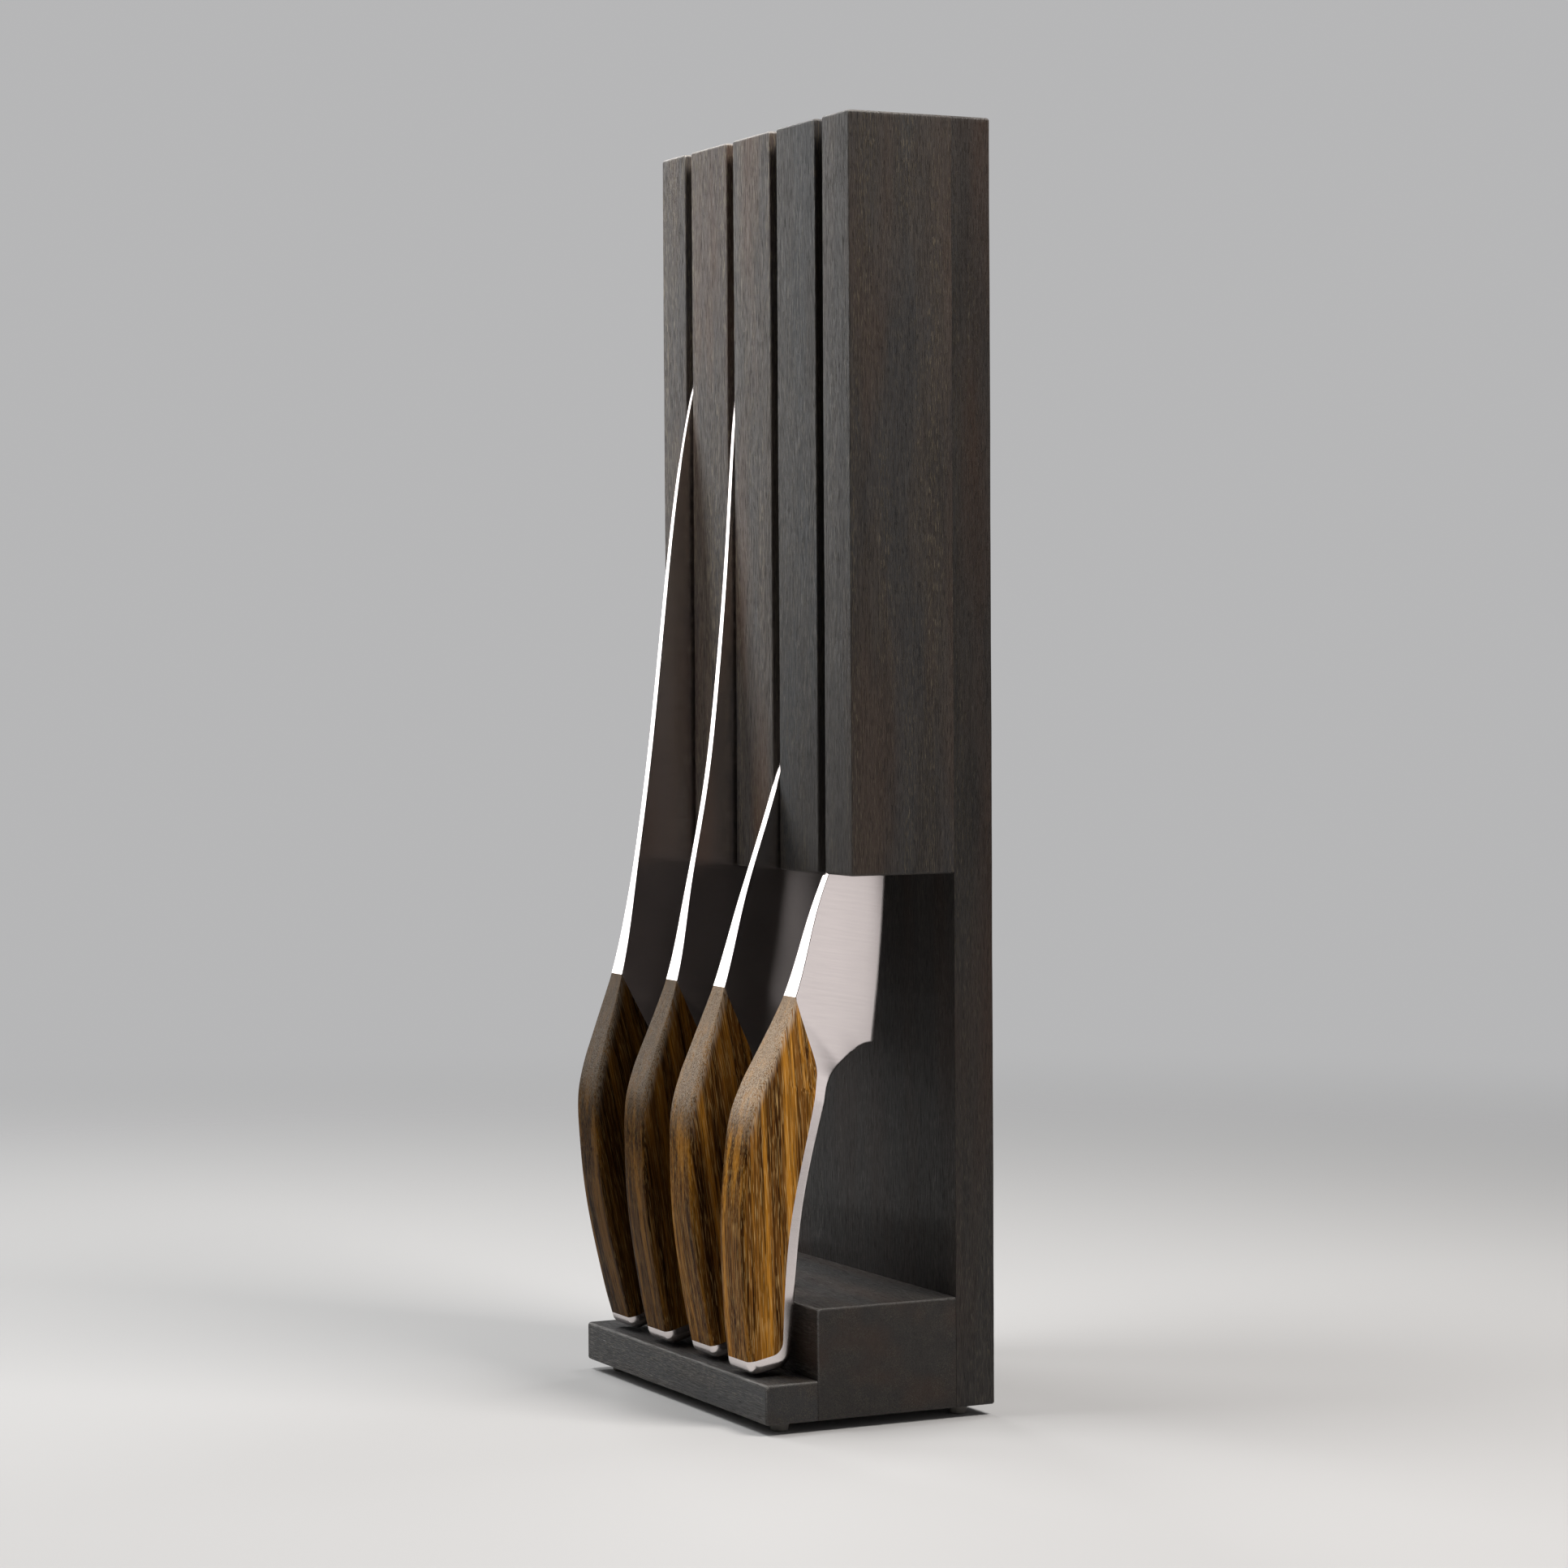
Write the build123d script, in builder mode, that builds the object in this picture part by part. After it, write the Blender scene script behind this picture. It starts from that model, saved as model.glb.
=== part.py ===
from build123d import *
import os
from math import cos, radians, sin

# Knife block with four knives, millimetres, +Z up, +Y from front to back.
# The origin is on the table below the middle of the whole object.

# Block
block_width = 143.0
wood_height = 420.0
foot_height = 3.5
slat_front = -5.4            # y of the slats' front faces
slat_depth = 37.3
back_thickness = 14.3
slat_bottom = 174.6          # above the underside of the wood
step_front = -13.3           # y from the slats' front faces
step_height = 36.3
ledge_front = -31.7          # y from the slats' front faces
ledge_height = 13.0
edge_round = 1.0             # eased outer edges

# Slots
slot_count = 4
slot_pitch = 33.3
slot_width = 5.0

# Hidden dowels
dowel_radius = 4.0
dowel_clearance = 0.05
dowel_in_back = 9.0          # depth into the back board
dowel_in_front = 24.0        # depth into a slat or the step
slat_dowel_heights = (210.0, 300.0, 390.0)
step_dowel_x = (-50.0, 0.0, 50.0)
ledge_dowel_radius = 3.0
ledge_dowel_reach = 10.0     # each way from the glued face
dowel_end_gap = 0.5          # air at each end of a dowel in its bore
dowel_chamfer = 0.8

# Magnets let into the slot walls
magnet_radius = 6.0
magnet_thickness = 4.0
magnet_recess = 0.3
magnet_depth = 18.0          # y from the slats' front faces
magnet_heights = (196.0, 225.0, 300.0, 360.0)

# Feet
foot_radius = 3.3
foot_inset = 9.0
foot_round = 0.7

# Knife handle, in the knife's own side view: u from spine to belly, v from
# the pommel's front corner up towards the tip
knee = (-13.35, 83.0)        # the spine side stands furthest out here
neck_top = (-1.7, 123.2)     # the wood ends here on the spine side
belly_low = (13.2, 14.0)
belly_mid = (10.1, 58.0)
belly_high = (13.2, 95.0)
front_low = [(-13.2, 70.0), (-10.9, 48.0), (-6.4, 25.8)]   # spine side between the knee and the pommel
front_high = (-11.6, 91.5)   # spine side between the neck's top and the knee
neck_belly = (20.5, 105.7)   # the belly side sweeps out here to the heel
neck_end = (1.0, 0.12)       # direction in which it meets the heel
pommel_belly = (13.9, 5.1)   # sharp corner before it is rounded
pommel_round = 5.5
cap_front = -0.7             # the wood's lower edge, 20 mm in front of the pommel
cap_corner = (9.8, 9.4)      # the wood's lower corner on the belly side
wood_back = [(6.3, 50.0), (8.6, 90.0)]
wood_turn = (9.0, 99.0)      # the wood's belly side turns in here
shoulder_end = (-0.5, 0.86)  # direction in which it meets the shoulder
wood_shoulder = (6.5, 107.0) # from here the wood tapers to the neck's top
limit_reach = 20.0           # how far the wood's limit runs out past the spine side
limit_rise = (-8.2, 16.2)    # its way up from the neck's top, clear of the outline

# Half thicknesses: the form is a loft through sections at heights v. Each has
# its half thickness on the spine side and at the cutting edge or belly.
handle_half = 9.3
knee_half = 8.45
shoulder_half = (8.3, 7.6)
shoulder_belly = 16.0        # u where the shoulder's belly thickness is reached
heel_half = (6.0, 1.0)
junction_half = (4.5, 0.5)   # where the steel spine starts
neck_half = (3.5, 0.35)
root_half = (2.35, 0.3)
blade_half = 1.95            # spine beyond the neck
tip_half = 0.8
edge_half = 0.2
shoulder_v = 95.0
neck_v = 137.0
root_v = 155.0
blade_v = 172.0
form_front = -16.0           # u of the form's face in front of the handle
form_margin = 1.0            # the form reaches this far past the outline
web_half = 1.5               # tang web inside the wood
web_depth = 8.0              # wood in front of the web
ledge_gap = 0.35             # air under the pommels


class Knife:
    """One knife of the set: its place, lean and blade outline."""

    def __init__(self, name, slot, corner, lean, spine, tip, edge, heel):
        self.name = name
        self.x = (slot - (slot_count - 1) / 2) * slot_pitch
        self.corner = corner     # y of the pommel's front corner from the slats
        self.lean = lean         # degrees back from upright
        self.spine = spine       # blade spine points, from the neck up
        self.tip = tip
        self.edge = edge         # cutting edge points, from the heel up
        self.heel = heel

    def origin(self):
        height = foot_height + ledge_height + ledge_gap
        return (self.x, slat_front + self.corner, height)

    def along(self):
        return Vector(0, sin(radians(self.lean)), cos(radians(self.lean)))

    def across(self):
        return Vector(0, cos(radians(self.lean)), -sin(radians(self.lean)))

    def side_plane(self):
        """Side view of the knife: x is u, y is v."""
        return Plane(self.origin(), x_dir=self.across(), z_dir=(1, 0, 0))

    def section_plane(self, height):
        """Square to the handle at one height: x is the thickness, y is u."""
        middle = Vector(*self.origin()) + self.along() * height
        return Plane(middle, x_dir=(1, 0, 0), z_dir=self.along())


chef = Knife(
    "chef_knife", 0, corner=-27.4, lean=0.0,
    spine=[(4.1, 151.0), (11.1, 197.5), (17.4, 252.0), (25.9, 312.0)],
    tip=(41.5, 374.0), edge=[(45.5, 180.0), (45.0, 290.0)], heel=(44.5, 112.4))
slicer = Knife(
    "slicing_knife", 1, corner=-29.2, lean=3.4,
    spine=[(2.3, 150.0), (7.5, 189.0), (9.9, 224.0), (11.3, 270.0), (12.1, 327.0), (16.3, 352.0)],
    tip=(31.0, 372.0), edge=[(36.0, 200.0), (39.5, 320.0)], heel=(32.0, 112.4))
utility = Knife(
    "utility_knife", 2, corner=-28.1, lean=3.8,
    spine=[(4.4, 150.0), (12.8, 182.0), (20.5, 215.0)],
    tip=(31.0, 262.0), edge=[(35.5, 160.0), (34.5, 220.0)], heel=(35.0, 112.4))
paring = Knife(
    "paring_knife", 3, corner=-31.1, lean=9.7,
    spine=[(2.6, 153.0), (5.7, 167.5), (11.0, 190.0)],
    tip=(19.5, 221.0), edge=[(29.8, 134.0), (26.8, 166.0)], heel=(31.2, 112.4))
knives = [chef, slicer, utility, paring]

half_width = block_width / 2
back_front = slat_front + slat_depth
back_face = back_front + back_thickness
step_face = slat_front + step_front
ledge_face = slat_front + ledge_front
slot_centres = [(k - (slot_count - 1) / 2) * slot_pitch for k in range(slot_count)]


def box_between(low, high):
    """A rectangle on the low corner's level, extruded to the high corner."""
    size = [high[i] - low[i] for i in range(3)]
    middle = ((low[0] + high[0]) / 2, (low[1] + high[1]) / 2, low[2])
    with BuildSketch(Plane(middle)) as base:
        Rectangle(size[0], size[1])
    extrude(base.sketch, amount=size[2])


def edges_at(part, axis, position):
    """Edges that lie on one plane square to the axis."""
    return part.edges().filter_by_position(axis, position - 0.01, position + 0.01)


def finish(part, name):
    part.label = name
    export_step(part, f"parts/{name}.step")


def dowel_plane(x, y, z):
    """Centre of a dowel that lies along Y, at height z above the table."""
    return Plane((x, y, z), x_dir=(1, 0, 0), z_dir=(0, 1, 0))


def slat_spans():
    """Low and high x of each slat."""
    walls = [-half_width]
    for centre in slot_centres:
        walls += [centre - slot_width / 2, centre + slot_width / 2]
    walls.append(half_width)
    return [(walls[2 * i], walls[2 * i + 1]) for i in range(slot_count + 1)]


def slat_middles():
    return [(low + high) / 2 for low, high in slat_spans()]


def cut_dowel_bores(planes, radius, reach):
    """Blind bores for dowels, drilled both ways from each plane."""
    for plane in planes:
        with BuildSketch(plane) as bore:
            Circle(radius + dowel_clearance)
        extrude(bore.sketch, amount=reach, both=True, mode=Mode.SUBTRACT)


def slat_joint_planes():
    return [
        dowel_plane(x, back_front, foot_height + z)
        for x in slat_middles() for z in slat_dowel_heights
    ]


def step_joint_planes():
    height = foot_height + step_height / 2
    return [dowel_plane(x, back_front, height) for x in step_dowel_x]


def ledge_joint_planes():
    height = foot_height + ledge_height / 2
    return [dowel_plane(x, step_face, height) for x in step_dowel_x]


def make_back_board():
    with BuildPart() as board:
        box_between(
            (-half_width, back_front, foot_height),
            (half_width, back_face, foot_height + wood_height))
        outer = edges_at(board.part, Axis.Y, back_face)
        top = edges_at(board.part, Axis.Z, foot_height + wood_height).filter_by(Axis.Y)
        fillet(outer + top, edge_round)
        cut_dowel_bores(slat_joint_planes() + step_joint_planes(), dowel_radius, dowel_in_back)
    finish(board.part, "back_board")


def make_slat(number, low_x, high_x):
    top = foot_height + wood_height
    with BuildPart() as slat:
        box_between(
            (low_x, slat_front, foot_height + slat_bottom), (high_x, back_front, top))
        front = edges_at(slat.part, Axis.Y, slat_front)
        upper = edges_at(slat.part, Axis.Z, top).filter_by(Axis.Y)
        fillet(front + upper, edge_round)
        planes = [p for p in slat_joint_planes() if low_x < p.origin.X < high_x]
        cut_dowel_bores(planes, dowel_radius, dowel_in_front)
        if number <= slot_count:
            cut_magnet_bores(high_x)
    finish(slat.part, f"slat_{number}")


def magnet_planes(wall_x):
    """On the slot wall, facing into the slot."""
    y = slat_front + magnet_depth
    return [
        Plane((wall_x, y, foot_height + z), x_dir=(0, 1, 0), z_dir=(1, 0, 0))
        for z in magnet_heights
    ]


def cut_magnet_bores(wall_x):
    for plane in magnet_planes(wall_x):
        with BuildSketch(plane) as bore:
            Circle(magnet_radius)
        depth = magnet_recess + magnet_thickness
        extrude(bore.sketch, amount=-depth, mode=Mode.SUBTRACT)


def make_magnets(number, wall_x):
    with BuildPart() as magnets:
        for plane in magnet_planes(wall_x):
            with BuildSketch(plane.offset(-magnet_recess)):
                Circle(magnet_radius)
            extrude(amount=-magnet_thickness)
    finish(magnets.part, f"slot_{number}_magnets")


def make_step_block():
    top = foot_height + step_height
    with BuildPart() as step:
        box_between(
            (-half_width, step_face, foot_height), (half_width, back_front, top))
        front = edges_at(step.part, Axis.Y, step_face)
        front = front.filter_by_position(Axis.Z, top - 0.01, top + 0.01)
        ends = edges_at(step.part, Axis.Z, top).filter_by(Axis.Y)
        fillet(front + ends, edge_round)
        cut_dowel_bores(step_joint_planes(), dowel_radius, dowel_in_front)
        cut_dowel_bores(ledge_joint_planes(), ledge_dowel_radius, ledge_dowel_reach)
    finish(step.part, "step_block")


def make_front_ledge():
    top = foot_height + ledge_height
    with BuildPart() as ledge:
        box_between(
            (-half_width, ledge_face, foot_height), (half_width, step_face, top))
        outer = edges_at(ledge.part, Axis.Y, ledge_face)
        ends = edges_at(ledge.part, Axis.Z, top).filter_by(Axis.Y)
        fillet(outer + ends, edge_round)
        cut_dowel_bores(ledge_joint_planes(), ledge_dowel_radius, ledge_dowel_reach)
    finish(ledge.part, "front_ledge")


def make_dowels(name, planes, radius, forward, back):
    """One group of dowels, a little shorter than their bores."""
    with BuildPart() as dowels:
        for plane in planes:
            with BuildSketch(plane.offset(dowel_end_gap - forward)):
                Circle(radius)
            extrude(amount=forward + back - 2 * dowel_end_gap)
        ends = dowels.part.edges().filter_by(GeomType.CIRCLE)
        chamfer(ends, dowel_chamfer)
    finish(dowels.part, name)


def make_feet():
    left = -half_width + foot_inset
    places = {
        "foot_front_left": (left, ledge_face + foot_inset),
        "foot_front_right": (-left, ledge_face + foot_inset),
        "foot_back_left": (left, back_face - foot_inset),
        "foot_back_right": (-left, back_face - foot_inset),
    }
    for name, (x, y) in places.items():
        with BuildPart() as foot:
            with BuildSketch(Plane((x, y, 0))):
                Circle(foot_radius)
            extrude(amount=foot_height)
            fillet(foot.edges().group_by(Axis.Z)[0], foot_round)
        finish(foot.part, name)


def whole_outline(knife):
    """Side outline of the whole knife, anticlockwise from the pommel."""
    with BuildLine() as line:
        FilletPolyline((0, 0), pommel_belly, belly_low, radius=pommel_round)
        belly = Spline(belly_low, belly_mid, belly_high)
        Spline(belly_high, neck_belly, knife.heel, tangents=(belly % 1, neck_end))
        Spline(knife.heel, *knife.edge, knife.tip)
        Spline(knife.tip, *reversed(knife.spine), neck_top)
        Spline(neck_top, front_high, knee, *front_low, (0, 0))
    return line.line


def wood_limit():
    """Encloses the wood insert: its true edge except on the spine side."""
    top_left = (neck_top[0] + limit_rise[0], neck_top[1] + limit_rise[1])
    far_top = (-limit_reach, top_left[1])
    far_bottom = (-limit_reach, cap_front)
    with BuildLine() as line:
        Polyline(top_left, far_top, far_bottom, cap_corner)
        back = Spline(cap_corner, *wood_back)
        Spline(wood_back[1], wood_turn, wood_shoulder, tangents=(back % 1, shoulder_end))
        Polyline(wood_shoulder, neck_top, top_left)
    return line.line


def thickness_form(knife):
    """A tapering form whose thickness, but not outline, is the knife's."""
    top = knife.tip[1] + form_margin
    reach = max(u for u, v in [knife.heel] + knife.edge) + form_margin
    sections = [
        (-form_margin, form_front, handle_half, reach, handle_half),
        (knee[1], form_front, knee_half, reach, knee_half),
        (shoulder_v, form_front, shoulder_half[0], shoulder_belly, shoulder_half[1]),
        (knife.heel[1], -6.5, heel_half[0], reach, heel_half[1]),
        (neck_top[1], -2.5, junction_half[0], reach, junction_half[1]),
        (neck_v, 0.0, neck_half[0], reach, neck_half[1]),
        (root_v, 3.0, root_half[0], reach, root_half[1]),
        (blade_v, 5.0, blade_half, reach, edge_half),
        (top, 12.0, tip_half, reach, edge_half),
    ]
    with BuildPart() as form:
        for height, spine_u, spine_half, belly_u, belly_half in sections:
            with BuildSketch(knife.section_plane(height)):
                with BuildLine():
                    Polyline(
                        (-spine_half, spine_u), (spine_half, spine_u),
                        (belly_half, belly_u), (-belly_half, belly_u), close=True)
                make_face()
        loft(ruled=True)
    return form.part


def wood_face(knife):
    with BuildSketch() as face:
        make_face(whole_outline(knife).edges())
        make_face(wood_limit().edges(), mode=Mode.INTERSECT)
    return face.sketch


def web_face(wood, plane):
    """Tang web: the wood's outline, less a strip along the spine side."""
    with BuildSketch(plane) as web:
        add(wood)
        with Locations((web_depth, 0)):
            add(wood, mode=Mode.INTERSECT)
    return web.sketch


def make_knife(knife):
    form = thickness_form(knife)
    plane = knife.side_plane()
    wood = wood_face(knife)
    web = web_face(wood, plane)
    with BuildPart() as steel:
        with BuildSketch(plane):
            make_face(whole_outline(knife).edges())
            make_face(wood_limit().edges(), mode=Mode.SUBTRACT)
        extrude(amount=handle_half + form_margin, both=True)
        add(form, mode=Mode.INTERSECT)
        extrude(web, amount=web_half, both=True)
    with BuildPart() as insert:
        with BuildSketch(plane):
            add(wood)
        extrude(amount=handle_half + form_margin, both=True)
        add(form, mode=Mode.INTERSECT)
        extrude(web, amount=web_half, both=True, mode=Mode.SUBTRACT)
    finish(steel.part, f"{knife.name}_blade")
    finish(insert.part, f"{knife.name}_handle")


def main():
    os.makedirs("parts", exist_ok=True)
    make_back_board()
    for number, (low_x, high_x) in enumerate(slat_spans(), start=1):
        make_slat(number, low_x, high_x)
        if number <= slot_count:
            make_magnets(number, high_x)
    make_step_block()
    make_front_ledge()
    make_dowels("slat_dowels", slat_joint_planes(), dowel_radius, dowel_in_front, dowel_in_back)
    make_dowels("step_dowels", step_joint_planes(), dowel_radius, dowel_in_front, dowel_in_back)
    make_dowels(
        "ledge_dowels", ledge_joint_planes(), ledge_dowel_radius,
        ledge_dowel_reach, ledge_dowel_reach)
    make_feet()
    for knife in knives:
        make_knife(knife)


main()
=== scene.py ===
import math

import bmesh
import bpy
import numpy as np
from mathutils import Matrix, Vector


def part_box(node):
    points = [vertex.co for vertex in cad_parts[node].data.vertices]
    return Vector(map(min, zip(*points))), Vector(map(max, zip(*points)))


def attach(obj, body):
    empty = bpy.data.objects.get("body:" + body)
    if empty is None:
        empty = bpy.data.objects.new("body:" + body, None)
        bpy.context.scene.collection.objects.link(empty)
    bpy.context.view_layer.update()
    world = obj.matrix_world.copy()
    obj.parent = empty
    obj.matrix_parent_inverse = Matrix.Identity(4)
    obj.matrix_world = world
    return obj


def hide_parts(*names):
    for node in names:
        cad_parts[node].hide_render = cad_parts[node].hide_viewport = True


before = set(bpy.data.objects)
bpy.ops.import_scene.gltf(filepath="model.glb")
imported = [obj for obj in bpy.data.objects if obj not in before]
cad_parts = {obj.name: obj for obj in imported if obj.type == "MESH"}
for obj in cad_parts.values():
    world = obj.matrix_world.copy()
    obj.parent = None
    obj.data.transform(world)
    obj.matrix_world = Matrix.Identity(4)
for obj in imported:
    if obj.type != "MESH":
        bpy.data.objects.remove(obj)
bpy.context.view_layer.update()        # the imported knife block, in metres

mm = 0.001
scene = bpy.context.scene


viewpoint = {
    "place": (1.2110, -0.5920, 0.2445),
    "azimuth": 63.732,          # degrees round from straight in front
    "downTilt": 1.633,
    "roll": -0.324,
    "lens": 91.76,
    "sensor": 36.0,
}


def makeCamera(spec):
    yaw = math.radians(spec["azimuth"])
    pitch = math.radians(spec["downTilt"])
    roll = math.radians(spec["roll"])
    ahead = Vector((
        -math.sin(yaw) * math.cos(pitch), math.cos(yaw) * math.cos(pitch), -math.sin(pitch)))
    level = Vector((math.cos(yaw), math.sin(yaw), 0))
    upward = level.cross(ahead)
    right = level * math.cos(roll) + upward * math.sin(roll)
    top = upward * math.cos(roll) - level * math.sin(roll)
    lens = bpy.data.cameras.new("viewpoint")
    lens.lens = spec["lens"]
    lens.sensor_width = spec["sensor"]
    lens.clip_start = 0.01
    lens.clip_end = 100
    camera = bpy.data.objects.new("viewpoint", lens)
    turn = Matrix((right, top, -ahead)).transposed().to_4x4()
    camera.matrix_world = Matrix.Translation(spec["place"]) @ turn
    scene.collection.objects.link(camera)
    scene.camera = camera


studio = {
    "floorSize": 6.0,
    "floorTone": (0.52, 0.517, 0.513),
    "floorFade": (0.35, 1.25),          # metres over which the floor fades into the backdrop
    "room": (0.02, 0.02, 0.021),        # soft light from all round
    "backdrop": (0.47, 0.47, 0.475),    # what shows beyond the floor
    "softBoxes": {
        # name: place, aim, width, height, watts, tint
        "key": ((-1.05, -0.50, 0.68), (0, -0.02, 0.25), 0.55, 1.0, 7.1, (1.0, 1.0, 1.0)),
        "top": ((-0.12, -0.30, 0.95), (-0.02, -0.02, 0.30), 0.3, 0.3, 5.0, (1.0, 1.0, 1.0)),
        "panel": ((0.56, 0.42, 0.27), (0.06, 0, 0.20), 0.5, 0.5, 0.68, (1.0, 0.965, 0.96)),
        "panelHigh": ((0.45, 0.22, 0.86), (0.07, 0, 0.38), 0.3, 0.3, 7.0, (1.0, 0.96, 0.93)),
        "leftRim": ((-1.15, 0.12, 1.00), (0, 0, 0.40), 0.4, 0.4, 4.0, (1.0, 1.0, 1.0)),
        "rearRim": ((-0.15, 0.65, 1.45), (0.03, 0, 0.40), 0.5, 0.4, 4.5, (1.0, 1.0, 1.0)),
    },
}


def makeSoftBox(name, place, aim, width, height, watts, tint):
    lamp = bpy.data.lights.new(name, "AREA")
    lamp.shape = "RECTANGLE"
    lamp.size = width
    lamp.size_y = height
    lamp.energy = watts
    lamp.color = tint
    box = bpy.data.objects.new(name, lamp)
    box.location = place
    box.rotation_euler = (Vector(aim) - Vector(place)).to_track_quat("-Z", "Y").to_euler()
    box.visible_camera = False
    scene.collection.objects.link(box)


def makeRoom(spec):
    world = bpy.data.worlds.new("room")
    world.use_nodes = True
    tree = world.node_tree
    tree.nodes.clear()
    seen = tree.nodes.new("ShaderNodeBackground")
    seen.inputs["Color"].default_value = (*spec["backdrop"], 1)
    glow = tree.nodes.new("ShaderNodeBackground")
    glow.inputs["Color"].default_value = (*spec["room"], 1)
    path = tree.nodes.new("ShaderNodeLightPath")
    mix = tree.nodes.new("ShaderNodeMixShader")
    out = tree.nodes.new("ShaderNodeOutputWorld")
    tree.links.new(path.outputs["Is Camera Ray"], mix.inputs[0])
    tree.links.new(glow.outputs[0], mix.inputs[1])
    tree.links.new(seen.outputs[0], mix.inputs[2])
    tree.links.new(mix.outputs[0], out.inputs["Surface"])
    scene.world = world


makeCamera(viewpoint)
makeRoom(studio)
for boxName, boxSpec in studio["softBoxes"].items():
    makeSoftBox(boxName, *boxSpec)
scene.view_settings.view_transform = "Standard"
print("camera and lights are set")


# Wraps a node's output. Sums written on it become Math nodes, or Vector Math on
# colours and vectors.
class Wire:
    def __init__(self, tree, socket=None):
        self.tree = tree
        self.socket = socket

    def node(self, kind, settings=None, sockets=None, output=0):
        made = self.tree.nodes.new(kind)
        for name, value in (settings or {}).items():
            if name == "stops":
                setStops(made.color_ramp, value)
            else:
                setattr(made, name, value)
        for name, value in (sockets or {}).items():
            if isinstance(value, Wire):
                self.tree.links.new(value.socket, made.inputs[name])
            else:
                made.inputs[name].default_value = value
        return Wire(self.tree, made.outputs[output]) if made.outputs else None

    def isVector(self):
        return self.socket.type in ("VECTOR", "RGBA")

    def maths(self, operation, first, second):
        wires = [w for w in (first, second) if isinstance(w, Wire)]
        if not any(w.isVector() for w in wires):
            return self.node("ShaderNodeMath", {"operation": operation}, {0: first, 1: second})
        pair = [spread(value) for value in (first, second)]
        return self.node(
            "ShaderNodeVectorMath", {"operation": operation}, {0: pair[0], 1: pair[1]})

    def __add__(self, other):
        return self.maths("ADD", self, other)

    def __radd__(self, other):
        return self.maths("ADD", other, self)

    def __sub__(self, other):
        return self.maths("SUBTRACT", self, other)

    def __rsub__(self, other):
        return self.maths("SUBTRACT", other, self)

    def __mul__(self, other):
        return self.maths("MULTIPLY", self, other)

    def __rmul__(self, other):
        return self.maths("MULTIPLY", other, self)

    # 0 below low, 1 above high, smooth between
    def step(self, low, high):
        return self.node(
            "ShaderNodeMapRange", {"interpolation_type": "SMOOTHSTEP"},
            {"Value": self, "From Min": low, "From Max": high})

    # from the first colour to the second as mask goes from 0 to 1
    def mixed(self, first, second, mask):
        return self.node(
            "ShaderNodeMix", {"data_type": "RGBA"},
            {0: mask, 6: opaque(first), 7: opaque(second)}, output=2)


def spread(value):
    return (value, value, value) if isinstance(value, (int, float)) else value


def opaque(value):
    return value if isinstance(value, Wire) else (*value, 1)


def setStops(ramp, stops):
    while len(ramp.elements) < len(stops):
        ramp.elements.new(0.5)
    for element, (place, colour) in zip(ramp.elements, stops):
        element.position = place
        element.color = (*colour, 1)


def startFinish(name):
    material = bpy.data.materials.new(name)
    material.use_nodes = True
    tree = material.node_tree
    tree.nodes.clear()
    return material, Wire(tree)


# The last step of a finish: plain numbers go on the shader's own sockets, wires are linked.
def closeFinish(start, bump=None, bumpHeight=0.0, **sockets):
    if bump is not None:
        sockets["Normal"] = start.node(
            "ShaderNodeBump", {}, {"Height": bump, "Distance": bumpHeight, "Strength": 1.0})
    named = {name.replace("_", " "): value for name, value in sockets.items()}
    shader = start.node("ShaderNodeBsdfPrincipled", {}, named)
    start.node("ShaderNodeOutputMaterial", {}, {"Surface": shader})


# Coordinates stored on each piece, in millimetres, with Z along the grain
def grainPlace(start, shift):
    stored = start.node("ShaderNodeAttribute", {"attribute_name": "grain"}, output=1)
    return stored + shift


# Stored on each piece: 1 where a painted highlight lightens the wood, 0 elsewhere
def paintedHighlightMask(start):
    return start.node("ShaderNodeAttribute", {"attribute_name": "wear"}, output=2)


# A noise pattern, from where it starts and how often it repeats in a millimetre
def pattern(place, start, repeats, detail=2.0, rough=0.5):
    return place.node(
        "ShaderNodeTexNoise", {"noise_dimensions": "3D"},
        {"Vector": (place + start) * repeats, "Scale": 1.0, "Detail": detail,
         "Roughness": rough})


def toned(finish, tone, *names):
    return (tuple(c * tone for c in finish[name]) for name in names)


blockOak = {
    "early": (0.108, 0.088, 0.074),     # pale streaks between the rings
    "late": (0.022, 0.0165, 0.0135),    # dark ring lines
    "warm": (0.125, 0.062, 0.034),      # browner drifts
    "cool": (0.062, 0.070, 0.080),      # blue-grey drifts
    "pore": (0.008, 0.006, 0.005),
    "fleck": (0.26, 0.215, 0.150),      # pale fibres
    "paintedHighlight": (0.66, 0.63, 0.59),         # painted highlight along the eased edges
    "ringGap": 2.4,                     # millimetres
    "roughness": 0.50,
    "gloss": 0.42,
    "relief": 0.00022,                  # brushed depth in metres
    # start, repeats per millimetre with the last along the grain, detail, roughness
    "patterns": {
        "drift": ((0, 0, 0), (0.055, 0.055, 0.007)),
        "wander": ((31.0, 7.0, 3.0), (0.3, 0.3, 0.02)),
        "patches": ((11.0, 3.0, 50.0), (0.12, 0.12, 0.018), 3.0, 0.6),
        "streaks": ((3.0, 40.0, 9.0), (1.3, 1.3, 0.030), 3.0, 0.65),
        "fibres": ((17.0, 5.0, 2.0), (4.2, 4.2, 0.13), 2.0, 0.65),
        "pores": ((5.0, 9.0, 21.0), (3.8, 3.8, 0.20), 1.0),
        "flecks": ((45.0, 2.0, 4.0), (3.4, 3.4, 0.26), 1.0),
        "fleckBands": ((1.0, 22.0, 6.0), (0.16, 0.16, 0.008)),
        "coolDrift": ((60.0, 8.0, 90.0), (0.07, 0.07, 0.011), 2.0, 0.55),
    },
    "bend": (9.0, 1.3),                 # how far drift and wander push the rings, millimetres
    # how much rings, patches, streaks and fibres count in the pale-to-dark figure
    "figure": {"rings": 0.18, "patches": 0.24, "streaks": 0.32, "fibres": 0.42},
}


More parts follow.
